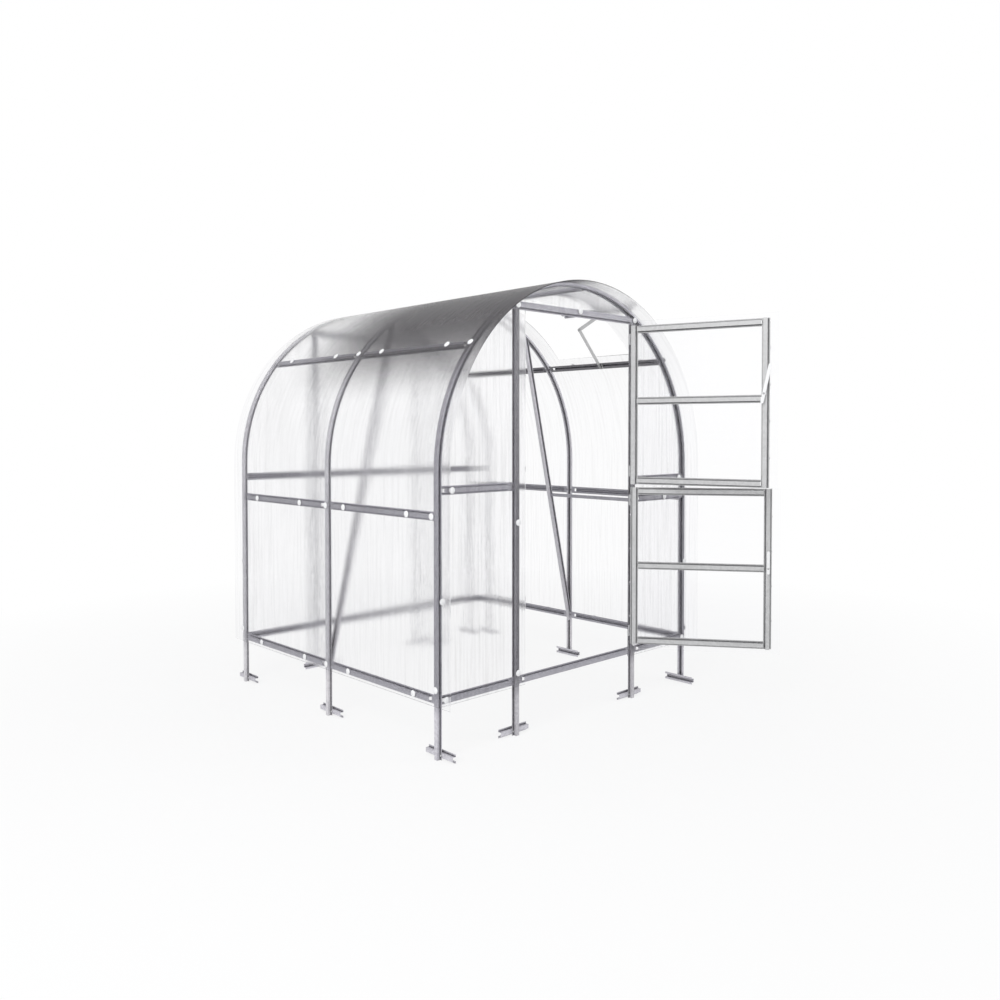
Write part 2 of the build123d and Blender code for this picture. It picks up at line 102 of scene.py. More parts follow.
# %% [markdown]
# ## Shader sums
# A node tree is easier to read as a formula. The class below wraps one socket, and each
# operator on it adds the Math node that does that sum. Every other kind of node comes from
# one method, which sets the node's options first and then its sockets.


# %% Sockets that add up
class Wire:
    """A socket's value, to be used in sums that become Math nodes."""

    def __init__(self, finish, socket):
        self.finish = finish
        self.socket = socket

    def sum_with(self, operation, *values):
        """One Math node on one or two values."""
        sockets = dict(enumerate(values))
        return self.finish.add("ShaderNodeMath", {"operation": operation}, sockets)

    def __add__(self, other):
        return self.sum_with("ADD", self, other)

    def __sub__(self, other):
        return self.sum_with("SUBTRACT", self, other)

    def __mul__(self, other):
        return self.sum_with("MULTIPLY", self, other)

    def __pow__(self, other):
        return self.sum_with("POWER", self, other)

    def __radd__(self, other):
        return self.sum_with("ADD", other, self)

    def __rsub__(self, other):
        return self.sum_with("SUBTRACT", other, self)

    def __rmul__(self, other):
        return self.sum_with("MULTIPLY", other, self)

    def fraction(self):
        """What is left after the decimal point."""
        return self.sum_with("FRACT", self)

    def size(self):
        """The value without its sign."""
        return self.sum_with("ABSOLUTE", self)

    def at_most(self, other):
        """The smaller of the two."""
        return self.sum_with("MINIMUM", self, other)


class Finish:
    """One material and its node tree."""

    def __init__(self, name):
        self.material = bpy.data.materials.new(name)
        self.material.use_nodes = True
        self.tree = self.material.node_tree
        self.tree.nodes.clear()
        self.place = self.add("ShaderNodeTexCoord", output="Object")

    def add(self, kind, settings=None, sockets=None, output=0):
        """Add a node: options first, then values or links into its sockets."""
        node = self.tree.nodes.new(kind)
        for key, value in (settings or {}).items():
            setattr(node, key, value)
        for key, value in (sockets or {}).items():
            if isinstance(value, Wire):
                self.tree.links.new(value.socket, node.inputs[key])
            else:
                node.inputs[key].default_value = value
        return Wire(self, node.outputs[output])

    def split(self, wire):
        """X, Y and Z of a vector."""
        parts = self.add("ShaderNodeSeparateXYZ", sockets={0: wire}).socket.node.outputs
        return [Wire(self, part) for part in parts]

    def mix_colour(self, share, first, second):
        """The first colour where the share is 0, the second where it is 1."""
        options = {"data_type": "RGBA"}
        return self.add("ShaderNodeMix", options, {0: share, 6: first, 7: second}, output=2)

    def ramp(self, wire, low, high):
        """Carry a value from the range low..high to 0..1, and hold it there."""
        sockets = {"Value": wire, "From Min": low, "From Max": high}
        return self.add("ShaderNodeMapRange", {"clamp": True}, sockets)

    def seen_directly(self):
        """1 for what the camera, a gloss or clear plastic looks at, 0 for what only gives light."""
        rays = self.add("ShaderNodeLightPath").socket.node.outputs
        camera_ray, glossy_ray, clear_ray = [
            Wire(self, rays[kind]) for kind in ("Is Camera Ray", "Is Glossy Ray", "Is Transmission Ray")
        ]
        return (camera_ray + glossy_ray + clear_ray).at_most(1.0)

    def surface(self, wire):
        """Close the tree with its output and hand over the material."""
        out = self.tree.nodes.new("ShaderNodeOutputMaterial")
        self.tree.links.new(wire.socket, out.inputs["Surface"])
        return self.material


print("shader helpers", Wire.__name__, Finish.__name__)

# %% [markdown]
# ## Galvanised steel
# Hot-dip zinc freezes in flat crystals, the spangle, a centimetre or so across, each a
# little lighter or darker than the next. A picture of zinc could be wrapped round the bars,
# but it would repeat and stretch in the bends. Voronoi cells in the metal's own space
# don't. A finer noise gives the dull bloom. How much air is near a point tells the folds
# from the open flanges, and the folds get a painted shade. How much is further out tells
# the outermost faces, which get a painted shade of darker grey. Below the sheet's lower
# edge the zinc is still light.


# %% Steel finishes
SPANGLE = 95.0
FINE_SPANGLE = 260.0
FOLD_REACH = 15 * MM
FACE_REACH = 30 * MM
# Grey of the painted shade in the folds.
PAINTED_FOLD_SHADE = (0.07, 0.066, 0.08, 1)
FRESH_ZINC = (1.25, 1.25, 1.22, 1)
NO_CHANGE = (1, 1, 1, 1)
SHEET_EDGE = (0.2, 0.32)


def zinc_steel(name, dark, light, spangle, rough, metallic, crown):
    """Grey by spangle cell and bloom, with painted shade in the folds. crown is how dark the painted shade
    makes the outermost faces, 1 for not at all.
    """
    finish = Finish(name)
    cells = finish.add(
        "ShaderNodeTexVoronoi", {"feature": "F1"}, {"Vector": finish.place, "Scale": spangle}, output="Color",
    )
    cell = finish.split(cells)[0]
    bloom = finish.add("ShaderNodeTexNoise", None, {"Vector": finish.place, "Scale": 9.0, "Detail": 5.0})
    grain = finish.add("ShaderNodeTexNoise", None, {"Vector": finish.place, "Scale": 420.0, "Detail": 3.0})
    near_air, wide_air = [finish.add(
        "ShaderNodeAmbientOcclusion", {"samples": 6, "only_local": True}, {"Distance": reach}, output="AO",
    ) for reach in (FOLD_REACH, FACE_REACH)]
    share = cell * 0.35 + bloom * 0.45 + grain * 0.2
    colour = finish.mix_colour(share, dark, light)
    under_sheet = finish.ramp(finish.split(finish.place)[2], *SHEET_EDGE)
    # Painted shade: above the sheet's lower edge the outermost faces turn darker, as far as crown says.
    outermost = finish.ramp(wide_air, 0.8, 0.96) * under_sheet
    clean = finish.mix_colour(under_sheet, FRESH_ZINC, NO_CHANGE)
    face = finish.mix_colour(outermost, clean, (crown, crown, crown, 1))
    # Painted shade: the folds, where little air is near, turn dark grey.
    shade = finish.mix_colour(finish.ramp(near_air, 0.56, 0.86), PAINTED_FOLD_SHADE, face)
    spangle_and_painted_shade = finish.add("ShaderNodeMix", {"data_type": "RGBA", "blend_type": "MULTIPLY"},
                      {0: 1.0, 6: colour, 7: shade}, output=2)
    bump = finish.add("ShaderNodeBump", None, {"Strength": 0.12, "Distance": 0.0006,
                                               "Height": cell * 0.4 + grain * 0.6})
    shader = finish.add("ShaderNodeBsdfPrincipled", None, {
        "Base Color": spangle_and_painted_shade,
        "Metallic": metallic,
        "Roughness": rough + cell * 0.12 + bloom * 0.1,
        "Normal": bump,
    })
    return finish.surface(shader)


def grey(red, green, blue):
    """An opaque colour."""
    return (red, green, blue, 1)


steel = zinc_steel(
    "galvanised_steel", grey(0.34, 0.33, 0.37), grey(0.62, 0.61, 0.66), SPANGLE, 0.38, 0.3, 0.66)
# A darker copy of the galvanised steel, a painted shade, for the front posts, the right roof bars and the
# bolts.
steel_painted_darker = zinc_steel(
    "steel_painted_darker", grey(0.30, 0.29, 0.32), grey(0.54, 0.53, 0.56), SPANGLE, 0.42, 0.25, 0.42)
# A lighter copy of the galvanised steel without darker crowns, a painted light, for the rear and middle hoops
# and the struts.
steel_painted_lighter = zinc_steel(
    "steel_painted_lighter", grey(0.40, 0.39, 0.42), grey(0.68, 0.67, 0.70), SPANGLE, 0.34, 0.4, 1.0)
leaf_steel = zinc_steel(
    "leaf_steel", grey(0.42, 0.42, 0.42), grey(0.66, 0.66, 0.66), SPANGLE, 0.42, 0.2, 1.0)
zinc = zinc_steel(
    "hinge_steel", grey(0.38, 0.38, 0.40), grey(0.62, 0.62, 0.63), FINE_SPANGLE, 0.30, 0.6, 1.0)
stay_steel = zinc_steel(
    "stay_steel", grey(0.34, 0.34, 0.34), grey(0.56, 0.56, 0.56), FINE_SPANGLE, 0.42, 0.2, 1.0)
steels = (steel, steel_painted_darker, steel_painted_lighter, leaf_steel, zinc, stay_steel)
print("steel finishes", [made.name for made in steels])

# %% [markdown]
# ## White plastic
# Washers and latches are moulded: one colour, a soft shine, and a very fine skin. A plain
# colour would do from far away. A faint mottle and a fine bump keep it from looking flat
# close by, and cost only two noises.


# %% Moulded plastic
def moulded(name, colour, rough):
    """One colour with a faint mottle, and a fine moulded skin."""
    finish = Finish(name)
    mottle = finish.add("ShaderNodeTexNoise", None, {"Vector": finish.place, "Scale": 60.0, "Detail": 4.0})
    skin = finish.add("ShaderNodeTexNoise", None, {"Vector": finish.place, "Scale": 1500.0, "Detail": 2.0})
    shaded = [value * 0.9 for value in colour[:3]] + [1]
    shader = finish.add("ShaderNodeBsdfPrincipled", None, {
        "Base Color": finish.mix_colour(mottle, shaded, colour),
        "Roughness": rough + mottle * 0.1,
        "Normal": finish.add("ShaderNodeBump", None, {"Strength": 0.08, "Distance": 0.0003, "Height": skin}),
    })
    return finish.surface(shader)


white_plastic = moulded("white_plastic", grey(0.93, 0.93, 0.93), 0.35)
print("plastic", white_plastic.name)

# %% [markdown]
# ## Twin-wall sheet
# The sheet is two thin skins with a rib between them every 6 mm. It is clear, but things
# behind it go soft, and fine streaks run along the ribs. Each rib could be modelled, but
# hundreds of thin clear walls render slowly, so a bump and a stretched noise stand in for
# them. A painted shade makes the upper part of the roof grey, most on the left side and
# towards the front. It tints what is seen through the sheet, and a part of it shows as a
# dark grey veil. How strong it is comes from the place on the sheet. Lamps shine through
# the sheet.


# %% Painted shade on the roof
# Where the painted shade on the roof lies, and the grey it tints through the sheet.
ROOF_SHADE_HEIGHT = (1.70, 2.2)
ROOF_SHADE_LEFT = (0.14, -0.3)
ROOF_SHADE_RIGHT_SHARE = 0.03
ROOF_SHADE_FRONT = (hoop_y["middle"] + 0.7, hoop_y["middle"] - 0.3)
ROOF_SHADE_TINT = grey(0.19, 0.183, 0.19)
CLEAR_TINT = grey(0.99, 0.99, 0.995)
DARK_DUST_AND_SHADE = grey(0.088, 0.084, 0.088)
LIGHT_DUST_AND_SHADE = grey(0.134, 0.128, 0.134)
RIB_PITCH = 6 * MM


def painted_shade_on_roof(finish, east, north, up):
    """How strong the painted shade on the roof is, 0 to 1: it grows with height, to the left and to the
    front.
    """
    def smooth_step(value, limits, least=0.0):
        """From the least value at the first limit to 1 at the second, along an S curve."""
        return finish.add("ShaderNodeMapRange", {"interpolation_type": "SMOOTHSTEP"}, {
            "Value": value, "From Min": limits[0], "From Max": limits[1], "To Min": least, "To Max": 1.0})

    high = smooth_step(up, ROOF_SHADE_HEIGHT)
    left = smooth_step(east, ROOF_SHADE_LEFT, ROOF_SHADE_RIGHT_SHARE)
    front = smooth_step(north, ROOF_SHADE_FRONT)
    return high * left * front


print("film starts at", ROOF_SHADE_HEIGHT[0], "m and is full at", ROOF_SHADE_HEIGHT[1], "m")


# %% Sheet finishes
def twin_wall(name, across, veil_of_shade, rough, haze):
    """Clear plastic with flutes along one direction. across says which coordinate crosses them.

    The third argument is the share of the painted roof shade that shows as a grey veil, and haze how much the
    streaks show."""
    finish = Finish(name)
    parts = finish.split(finish.place)
    crossing = parts["XYZ".index(across)]
    rib_wave = ((crossing * (1 / RIB_PITCH)).fraction() - 0.5).size() * 2
    rib = finish.ramp(rib_wave, 0.72, 0.95)
    scale = [1.0, 1.0, 1.0]
    scale["XYZ".index(across)] = 30.0
    stretched = finish.add("ShaderNodeMapping", None, {"Vector": finish.place, "Scale": scale})
    streak = finish.add(
        "ShaderNodeTexNoise", None, {"Vector": stretched, "Scale": 2.0, "Detail": 5.0, "Roughness": 0.7},
    )
    cloud = finish.add("ShaderNodeTexNoise", None, {"Vector": finish.place, "Scale": 2.2, "Detail": 3.0})
    skin = finish.add("ShaderNodeBump", None, {
        "Strength": 0.4, "Distance": 0.0014, "Height": rib_wave * 0.45 + streak * 1.3,
    })
    tint = CLEAR_TINT
    dusty = finish.ramp(streak, 0.46, 0.78) * haze
    share = dusty + rib * (haze * 0.6)
    # Painted shade on the roof: grey with height, to the left and to the front, as a tint of what is seen
    # through it and as a grey veil.
    if veil_of_shade:
        amount = (painted_shade_on_roof(finish, *parts) * (0.86 + cloud * 0.16 + streak * 0.12)).at_most(1.0)
        tint = finish.mix_colour(amount, CLEAR_TINT, ROOF_SHADE_TINT)
        share = share + amount * veil_of_shade
    clear = finish.add("ShaderNodeBsdfPrincipled", None, {
        "Base Color": tint,
        "Roughness": rough + streak * 0.05,
        "IOR": 1.1,
        "Transmission Weight": 1.0,
        "Specular IOR Level": 0.2,
        "Normal": skin,
    })
    veil = finish.add("ShaderNodeBsdfPrincipled", None, {
        # The veil's grey serves both the streak dust and the painted shade on the roof.
        "Base Color": finish.mix_colour(streak, DARK_DUST_AND_SHADE, LIGHT_DUST_AND_SHADE),
        "Roughness": 0.6,
        "Specular IOR Level": 0.1,
    })
    seen = finish.add("ShaderNodeMixShader", None, {0: share.at_most(0.95), 1: clear, 2: veil})
    rays = finish.add("ShaderNodeLightPath").socket.node.outputs
    lighting = (Wire(finish, rays["Is Shadow Ray"]) + Wire(finish, rays["Is Diffuse Ray"])).at_most(1.0)
    open_shade = finish.add("ShaderNodeBsdfTransparent", None, {"Color": (0.95, 0.95, 0.95, 1)})
    return finish.surface(finish.add("ShaderNodeMixShader", None, {0: lighting, 1: seen, 2: open_shade}))


# Only the roof sheet carries the painted shade, 0.55 of it as a veil.
roof_sheet = twin_wall("twin_wall_sheet", "Y", 0.55, 0.10, 0.05)
gable_sheet = twin_wall("gable_sheet", "X", 0.0, 0.08, 0.09)
hatch_cover = twin_wall("hatch_sheet", "Y", 0.0, 0.10, 0.04)
clear_sheet = twin_wall("clear_sheet", "Z", 0.0, 0.0, 0.004)
print("sheets", roof_sheet.name, gable_sheet.name, hatch_cover.name, clear_sheet.name)

# %% [markdown]
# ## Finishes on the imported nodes
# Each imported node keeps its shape. Only its material slots change. The name of a node says
# what it is on the real house, so most finishes can be told from the name's ending, and a
# short table names the exceptions.

# %% Dress the nodes
finish_of = {
    "cover_sheet": roof_sheet,
    "hatch_sheet": hatch_cover,
    "hatch_stay": stay_steel,
    # The front posts and the right roof bars take the steel with painted shade.
    "front_posts": steel_painted_darker,
    "right_purlins": steel_painted_darker,
    # The rear and middle hoops and the struts take the steel with painted light.
    "rear_arch": steel_painted_lighter,
    "middle_arch": steel_painted_lighter,
    "middle_struts": steel_painted_lighter,
    "door_hinge_plates": zinc,
    "hatch_hinges": zinc,
}


def finish_for(name):
    """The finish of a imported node, from its name."""
    if name in finish_of:
        return finish_of[name]
    if name.endswith("_panel"):
        return gable_sheet
    if name.endswith("leaf_sheet"):
        return clear_sheet
    if name.endswith("latch"):
        return white_plastic
    if name.endswith("leaf_hinges"):
        return zinc
    return leaf_steel if "_leaf_" in name else steel


for name, node in nodes.items():
    node.data.materials.clear()
    node.data.materials.append(finish_for(name))
print("dressed", len(nodes))

# %% [markdown]
# ## A hair of air
# In the model each sheet lies exactly on the steel. A ray can't tell which of two faces in
# one place comes first, and clear plastic then looks stained. So every sheet is merged and
# shrunk by a fifth of a millimetre on all sides, with modifiers, which leave its mesh alone.

# %% Shrink the sheets a hair
hair = 0.2 * MM
sheet_finishes = (roof_sheet, gable_sheet, hatch_cover, clear_sheet)
for name, node in nodes.items():
    if finish_for(name) in sheet_finishes:
        weld = node.modifiers.new("weld", "WELD")
        weld.merge_threshold = hair / 10
        shrink = node.modifiers.new("shrink", "DISPLACE")
        shrink.mid_level = 0
        shrink.strength = -hair
        print(name, "shrunk")

# %% [markdown]
# ## Round fixings
# Washers, bolt heads, nuts and screws are all a profile turned about an axis. Six steps
# round make a hexagon, and many make a circle. Blender's cylinders with bevels could stand
# in for them, one object each. Here one shape is worked out on a grid of profile point by
# angle, and then copied to every place at once with array sums, which makes domes and steps
# in the same way and keeps each kind of fixing in one mesh.


# %% Turned shapes
def turned(profile, steps):
    """Points at (r cos a, r sin a, z) for each profile point (r, z) and angle a = 2 pi k / steps.

    The first and last profile points lie on the axis and close the shape as poles."""
    profile = np.asarray(profile, float) * MM
    angle = np.arange(steps) * 2 * np.pi / steps
    rings = profile[1:-1]
    x = rings[:, :1] * np.cos(angle)
    y = rings[:, :1] * np.sin(angle)
    z = np.repeat(rings[:, 1:], steps, axis=1)
    grid = np.stack([x, y, z], axis=-1).reshape(-1, 3)
    poles = np.array([[0, 0, profile[0, 1]], [0, 0, profile[-1, 1]]])
    points = np.concatenate([grid, poles])
    here = np.arange(steps)
    after = (here + 1) % steps
    row = np.arange(len(rings) - 1)[:, None] * steps
    sides = np.stack([row + here, row + after, row + steps + after, row + steps + here], axis=-1)
    bottom = np.stack([after, here, np.full(steps, len(grid))], axis=-1)
    last = (len(rings) - 1) * steps
    top = np.stack([last + here, last + after, np.full(steps, len(grid) + 1)], axis=-1)
    return points, sides.reshape(-1, 4), np.concatenate([bottom, top])


def copied(shape, places, directions):
    """The shape at every place, its axis along each direction: p + x u + y v + z n.

    u is square to n and to a fixed slanting line, and v to both."""
    points, quads, triangles = shape
    n = np.asarray(directions, float)
    n = n / np.linalg.norm(n, axis=1, keepdims=True)
    slanting = (0.31, 0.87, 0.38)
    u = np.cross(n, slanting)
    u = u / np.linalg.norm(u, axis=1, keepdims=True)
    v = np.cross(n, u)
    turn = np.stack([u, v, n], axis=1)
    moved = np.asarray(places, float)[:, None, :] + np.einsum("pi,kij->kpj", points, turn)
    step = (np.arange(len(moved)) * len(points))[:, None, None]
    faces = (quads + step).reshape(-1, 4).tolist() + (triangles + step).reshape(-1, 3).tolist()
    return moved.reshape(-1, 3), faces


def piece(name, points, faces, material, body="frame", smooth=True):
    """A mesh object with its place in its mesh, which rides on a body."""
    mesh = bpy.data.meshes.new(name)
    mesh.from_pydata(points.tolist(), [], faces)
    mesh.polygons.foreach_set("use_smooth", [smooth] * len(mesh.polygons))
    mesh.materials.append(material)
    made = bpy.data.objects.new(name, mesh)
    bpy.context.scene.collection.objects.link(made)
    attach(made, body)
    print(name, len(mesh.polygons), "faces")


washer_shape = turned([
    (0, 0), (15.8, 0), (16.4, 0.5), (16.4, 2.2), (15.6, 3.2), (11, 4.3), (6.2, 4.8), (5.6, 5.3), (0, 5.4),
], 28)
bolt_shape = turned([(0, 0), (7, 0), (7, 1.2), (4.7, 1.25), (4.7, 4.6), (4.1, 5.2), (0, 5.2)], 6)
nut_shape = turned([(0, 0), (4.7, 0), (4.7, 4.0), (2.6, 4.1), (2.6, 6.4), (2.2, 6.9), (0, 6.9)], 6)
screw_shape = turned([(0, 0), (3.6, 0), (3.5, 0.7), (2.7, 1.6), (1.2, 2.1), (0, 2.15)], 16)
print("washer points", len(washer_shape[0]))

# %% [markdown]
# ## Sealing washers
# White domed washers press the sheet on the crowns of the bars. Their places were measured
# in the photograph along the left wall, the left roof bar and the door gable. The far sides
# repeat them. Each list below holds places in millimetres from the middle hoop.

# %% Washers on the long walls and the roof
wall_rows = {
    "side": (side_rail, [-916, -723, -174, 0, 269, 754]),
    "base": (low_rail + 4 * MM, [-774, -213, 0, 221, 712]),
    "foot": (0.336, [-944, 944]),
}
roof_row = [-944, -768, -217, 0, 231, 717]


def washer_row(x, row, z, out):
    """Places (x, middle hoop + row, z) of one row of washers, and the same direction for each."""
    y = hoop_y["middle"] + np.array(row) * MM
    return np.stack([np.full(len(y), x), y, np.full(len(y), z)], 1), np.tile(out, (len(y), 1))


def wall_places():
    """Places and outward directions of the washers on both walls and both roof bars."""
    rows = []
    for side in (-1, 1):
        for height, row in wall_rows.values():
            rows.append(washer_row(side * (sheet_radius + hair), row, height, (side, 0, 0)))
        out = np.array([side * math.cos(purlin_angle), 0, math.sin(purlin_angle)])
        foot = out * (sheet_radius + hair) + (0, 0, spring_height)
        rows.append(washer_row(foot[0], roof_row, foot[2], out))
    places, directions = zip(*rows)
    return np.concatenate(places), np.concatenate(directions)


places, directions = wall_places()
points, faces = copied(washer_shape, places, directions)
piece("cover_washers", points, faces, white_plastic)

# %% Washers on the gables
both_ends = [
    (-918, 1282), (918, 1282), (-955, 284), (955, 284), (-979, 757), (979, 757), (-475, 1098), (475, 1098),
    (-475, 325), (475, 325), (-475, 2207), (475, 2207), (0, 2216),
]
only_front = [(768, 1171)]
only_rear = [(0, 1282), (0, 284)]


def gable_places(end, pairs):
    """Places on one gable's sheets, a hair clear of them, and its outward direction."""
    sign = -1 if end == "front" else 1
    pairs = np.array(pairs) * MM
    y = np.full(len(pairs), gable_face[end] + sign * hair)
    return np.stack([pairs[:, 0], y, pairs[:, 1]], 1), np.tile([0, sign, 0], (len(pairs), 1))


for end, pairs in (("front", both_ends + only_front), ("rear", both_ends + only_rear)):
    points, faces = copied(washer_shape, *gable_places(end, pairs))
    piece(end + "_gable_washers", points, faces, white_plastic)

# %% [markdown]
# ## Bolts and nuts
# Each rail ends in a flat tab that lies on a flange, with one small hexagon bolt through
# both. From outside the head sits in the short recess at the rail's end. The nut is inside.
# Threads and washers under the heads are too small to see and are left out.

# %% Bolts of the long walls and the roof
tab_bolt = 16.8 * MM
tab_face = 982 * MM
flange_back = 979.9 * MM
bay = 940 * MM
ridge_angle = math.radians(86)
bay_bolts = hoop_y["middle"] + np.array([tab_bolt - bay, -tab_bolt, tab_bolt, bay - tab_bolt])
front_bay_bolts = bay_bolts[:2]


def long_bolts(radius):
    """Places and outward directions at a distance from the hoops' centre line."""
    places, directions = [], []
    for side in (-1, 1):
        for height in (low_rail, side_rail):
            for y in bay_bolts:
                places.append((side * radius, y, height))
                directions.append((side, 0, 0))
    roof = [(purlin_angle, bay_bolts), (math.pi - purlin_angle, bay_bolts), (ridge_angle, front_bay_bolts)]
    for angle, row in roof:
        for y in row:
            places.append((radius * math.cos(angle), y, spring_height + radius * math.sin(angle)))
            directions.append((math.cos(angle), 0, math.sin(angle)))
    return np.array(places), np.array(directions)


heads, outward = long_bolts(tab_face)
backs, outward = long_bolts(flange_back)
head_points, head_faces = copied(bolt_shape, heads, outward)
nut_points, nut_faces = copied(nut_shape, backs, -outward)
piece("wall_bolt_heads", head_points, head_faces, steel_painted_darker, smooth=False)
piece("wall_bolt_nuts", nut_points, nut_faces, steel_painted_darker, smooth=False)

# %% Bolts of the gables
post_tab_face = 944 * MM
post_flange_back = 941.9 * MM
header_bolt = post_x + 3 * MM
post_bolts = [post_x - tab_bolt, post_x + tab_bolt]
gable_rows = {
    "front": [(low_rail, post_bolts), (gable_rail, post_bolts[1:])],
    "rear": [(low_rail, post_bolts), (gable_rail, post_bolts)],
}


def gable_bolts(end, reach):
    """Places on the posts, at a distance from the middle hoop, and the outward direction."""
    sign = -1 if end == "front" else 1
    y = hoop_y["middle"] + sign * reach
    spots = [(side * x, height) for height, row in gable_rows[end] for x in row for side in (-1, 1)]
    spots += [(side * header_bolt, header) for side in (-1, 1)]
    if end == "front":
        spots.append((post_bolts[1], hinge_rail))
    places = np.array([(x, y, z) for x, z in spots])
    return places, np.tile([0, sign, 0], (len(places), 1))


for end in ("front", "rear"):
    heads, outward = gable_bolts(end, post_tab_face)
    backs, outward = gable_bolts(end, post_flange_back)
    head_points, head_faces = copied(bolt_shape, heads, outward)
    nut_points, nut_faces = copied(nut_shape, backs, -outward)
    piece(end + "_bolt_heads", head_points, head_faces, steel_painted_darker, smooth=False)
    piece(end + "_bolt_nuts", nut_points, nut_faces, steel_painted_darker, smooth=False)

# %% Bolts of the feet
sole_height = 22 * MM
leg_foot = 981 * MM
post_foot = 943 * MM
foot_spots = []
for side in (-1, 1):
    for y in hoop_y.values():
        for offset in (-tab_bolt, tab_bolt):
            foot_spots.append(((side * leg_foot, y + offset, sole_height), (side, 0, 0)))
    for sign in (-1, 1):
        for offset in (-tab_bolt, tab_bolt):
            spot = (side * post_x + offset, hoop_y["middle"] + sign * post_foot, sole_height)
            foot_spots.append((spot, (0, sign, 0)))
foot_places = np.array([spot for spot, way in foot_spots])
foot_ways = np.array([way for spot, way in foot_spots])
points, faces = copied(bolt_shape, foot_places, foot_ways)
piece("foot_bolts", points, faces, zinc, smooth=False)

# %% [markdown]
# ## Fixings that swing
# The leaves and the hatch are modelled standing open. It is easiest to place their fixings
# on the shut door and then turn them about the hinge line, as the model does.


# %% Turn about a line
def turned_about(points, pivot, axis, angle):
    """p' = q + (p - q) cos a + (k x (p - q)) sin a + k (k . (p - q)) (1 - cos a)."""
    k = np.asarray(axis, float)
    offset = np.asarray(points, float) - pivot
    along = (offset @ k)[:, None] * k
    turn = offset * math.cos(angle) + np.cross(k, offset) * math.sin(angle) + along * (1 - math.cos(angle))
    return turn + pivot


door = next(joint for joint in frame["joints"] if joint["name"] == "upper_leaf_hinge")["pos_m"]
door_line = np.array([door[0], door[1], 0.0])
leaf_angle = {"upper": math.radians(106.7), "lower": math.radians(125.9)}
leaf_bottom = {"upper": 1.260, "lower": 0.333}
leaf_outer = hoop_y["middle"] - 976 * MM
leaf_sides = (-369.5 * MM, 409.5 * MM)
hinge_rise = (75 * MM, 834 * MM)
hinge_z = [bottom + rise for bottom in leaf_bottom.values() for rise in hinge_rise]
print("hinges at", np.round(hinge_z, 3))

# %% Small washers on the leaf sheets, and screws of the leaf hinges
small_washer = turned([(0, 0), (8.6, 0), (9, 0.4), (9, 1.4), (8, 2.2), (4.6, 2.8), (3.8, 3.6), (0, 4.1)], 20)


def leaf_piece(name, leaf, shape, spots, y, way, material):
    """Copies on a leaf, placed on the shut door and swung open with it."""
    places = np.array([(x, y, z) for x, z in spots])
    points, faces = copied(shape, places, np.tile([0, way, 0], (len(places), 1)))
    points = turned_about(points, door_line, (0, 0, 1), leaf_angle[leaf])
    piece(name, points, faces, material, body=leaf + "_leaf")


for leaf, bottom in leaf_bottom.items():
    rises = np.array([160, 357, 552, 750]) * MM + bottom
    spots = [(x, z) for x in leaf_sides for z in rises]
    face = leaf_outer - hair
    leaf_piece(leaf + "_leaf_washers", leaf, small_washer, spots, face, -1, white_plastic)
    plate_spots = [
        (door[0] + dx * MM, bottom + rise + dz * MM)
        for rise in hinge_rise for dx in (-18, -34) for dz in (-20, 20)
    ]
    plate_face = leaf_outer - 2 * MM
    leaf_piece(leaf + "_hinge_screws", leaf, screw_shape, plate_spots, plate_face, -1, zinc)

# %% Screws and pin heads of the fixed hinge halves
post_plate = hoop_y["middle"] - 968 * MM
fixed_spots = np.array([
    (door[0] + dx * MM, post_plate, z + dz * MM) for z in hinge_z for dx in (20, 38) for dz in (-20, 20)
])
points, faces = copied(screw_shape, fixed_spots, np.tile([0, -1, 0], (len(fixed_spots), 1)))
piece("post_hinge_screws", points, faces, zinc)
pin_shape = turned([(0, 0), (3.6, 0), (3.6, 0.5), (2.6, 1.3), (1.2, 1.6), (0, 1.65)], 16)
pin_ends = np.array([(door[0], door[1], z + sign * 30 * MM) for z in hinge_z for sign in (-1, 1)])
pin_ways = np.array([(0, 0, sign) for z in hinge_z for sign in (-1, 1)])
points, faces = copied(pin_shape, pin_ends, pin_ways)
piece("hinge_pin_heads", points, faces, zinc)

# %% Pivot screws of the latches
latch_face = hoop_y["middle"] - 929 * MM
pivot_shape = turned([(0, 0), (5.6, 0), (5.6, 0.7), (3.4, 0.8), (3.2, 1.9), (2.4, 2.4), (0, 2.5)], 16)
for leaf, height in (("upper", 1.765), ("lower", 0.795)):
    spot = [(-353 * MM, height)]
    leaf_piece(leaf + "_latch_screw", leaf, pivot_shape, spot, latch_face, 1, zinc)

# %% Fixings of the hatch
hatch_line = math.radians(84.5)
pin_radius = 1009.2 * MM
hatch_radius = 1008.6 * MM
plate_radius = 1006 * MM
hatch_turn = math.radians(24)
hatch_y = hoop_y["middle"] + np.array([-658, -420, -182]) * MM


def on_roof(radius, angle, y):
    """Point and outward direction on the roof at an angle up from the right."""
    way = (math.cos(angle), 0, math.sin(angle))
    return (radius * way[0], y, spring_height + radius * way[2]), way


hatch_pivot = np.array(on_roof(pin_radius, hatch_line, 0.0)[0])
spots = [on_roof(hatch_radius, math.radians(angle), hoop_y["middle"] + y * MM)
         for angle in (44.6, 79.4) for y in (-640, -420, -200)]
places = np.array([place for place, way in spots])
ways = np.array([way for place, way in spots])
points, faces = copied(washer_shape, places, ways)
points = turned_about(points, hatch_pivot, (0, -1, 0), hatch_turn)
piece("hatch_washers", points, faces, white_plastic)

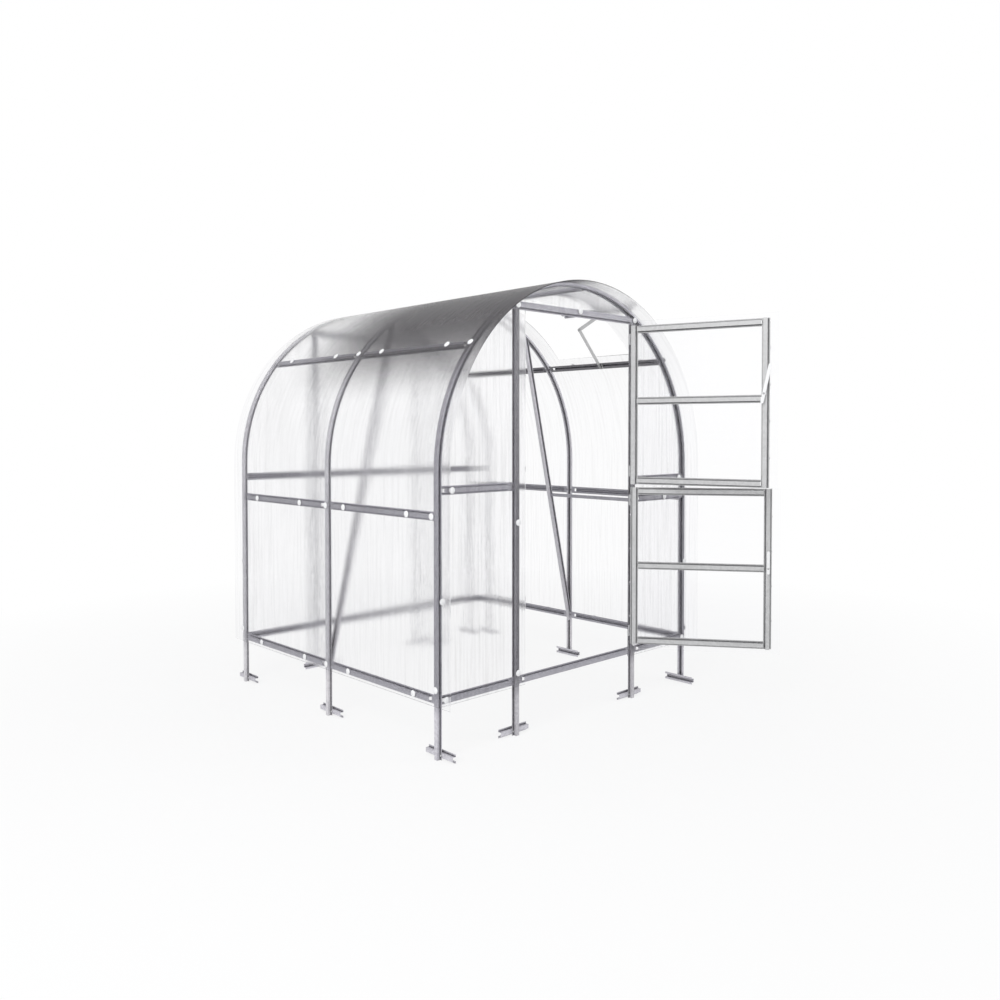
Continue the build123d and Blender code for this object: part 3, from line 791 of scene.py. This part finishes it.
tangent = np.array([math.sin(hatch_line), 0, -math.cos(hatch_line)])
plate_top = np.array(on_roof(plate_radius, hatch_line, 0.0)[0])
spots = np.array([plate_top + tangent * dx * MM + (0, y + dy * MM, 0)
                  for y in hatch_y for dx in (-12, -26) for dy in (-20, 20)])
radial = np.array([math.cos(hatch_line), 0, math.sin(hatch_line)])
points, faces = copied(screw_shape, spots, np.tile(radial, (len(spots), 1)))
piece("hatch_hinge_screws", points, faces, zinc)

# %% [markdown]
# ## Floor, sky and lamps
# The photograph has a plain white ground. More light would make a white ground too, but it
# would bleach the steel. So the floor and the sky are white to the camera and in
# reflections, through Light Path, and the object itself is lit by a softer sky and two
# large lamps, and greys stay grey. The floor still takes a soft shadow.

# %% Floor
white_share = 0.82
white_from, white_beyond = 1.5, 5.0


def plain_floor():
    """A large flat floor, mostly glowing white to the camera, with a little shadow left."""
    below = -1 * MM
    points = np.array([(-30, -30, below), (30, -30, below), (30, 30, below), (-30, 30, below)])
    mesh = bpy.data.meshes.new("floor")
    mesh.from_pydata(points.tolist(), [], [(0, 1, 2, 3)])
    finish = Finish("floor_white")
    paint = finish.add("ShaderNodeBsdfDiffuse", None, {"Color": (0.85, 0.85, 0.85, 1)})
    glow = finish.add("ShaderNodeEmission", None, {"Color": (1, 1, 1, 1), "Strength": 1.0})
    east, north, up = finish.split(finish.place)
    distance = (east * east + north * north) ** 0.5
    glowing = white_share + finish.ramp(distance, white_from, white_beyond) * (1 - white_share)
    share = finish.seen_directly() * glowing
    mixed = finish.add("ShaderNodeMixShader", None, {0: share, 1: paint, 2: glow})
    mesh.materials.append(finish.surface(mixed))
    made = bpy.data.objects.new("floor", mesh)
    bpy.context.scene.collection.objects.link(made)
    print("floor", len(mesh.polygons), "face")


plain_floor()


# %% Sky
class Sky(Finish):
    """The world's node tree, built with the same sums as a material's."""

    def __init__(self, name):
        self.world = bpy.data.worlds.new(name)
        self.world.use_nodes = True
        self.tree = self.world.node_tree
        self.tree.nodes.clear()

    def shine(self, wire):
        """Close the tree with its output and make this the scene's world."""
        out = self.tree.nodes.new("ShaderNodeOutputWorld")
        self.tree.links.new(wire.socket, out.inputs["Surface"])
        bpy.context.scene.world = self.world


sky = Sky("studio")
soft = sky.add("ShaderNodeBackground", None, {"Color": (0.96, 0.97, 1.0, 1), "Strength": 0.62})
white = sky.add("ShaderNodeBackground", None, {"Color": (1, 1, 1, 1), "Strength": 1.0})
sky.shine(sky.add("ShaderNodeMixShader", None, {0: sky.seen_directly(), 1: soft, 2: white}))
print("sky", sky.world.name, len(sky.tree.nodes), "nodes")


# %% Lamps
def soft_lamp(name, place, size, watts):
    """A square lamp at a place, turned to the middle of the house."""
    data = bpy.data.lights.new(name, "AREA")
    data.shape = "SQUARE"
    data.size = size
    data.energy = watts
    lamp = bpy.data.objects.new(name, data)
    lamp.location = place
    aim = Vector((0, hoop_y["middle"], 1.2)) - Vector(place)
    lamp.rotation_euler = aim.to_track_quat("-Z", "Y").to_euler()
    bpy.context.scene.collection.objects.link(lamp)
    print(name, watts, "watts")


soft_lamp("key_lamp", (-6.0, -2.5, 4.5), 4.0, 260)
soft_lamp("fill_lamp", (5.0, -5.5, 3.5), 4.0, 120)

# %% Finish
scene = bpy.context.scene
scene.view_settings.view_transform = "Standard"
scene.cycles.transparent_max_bounces = 24
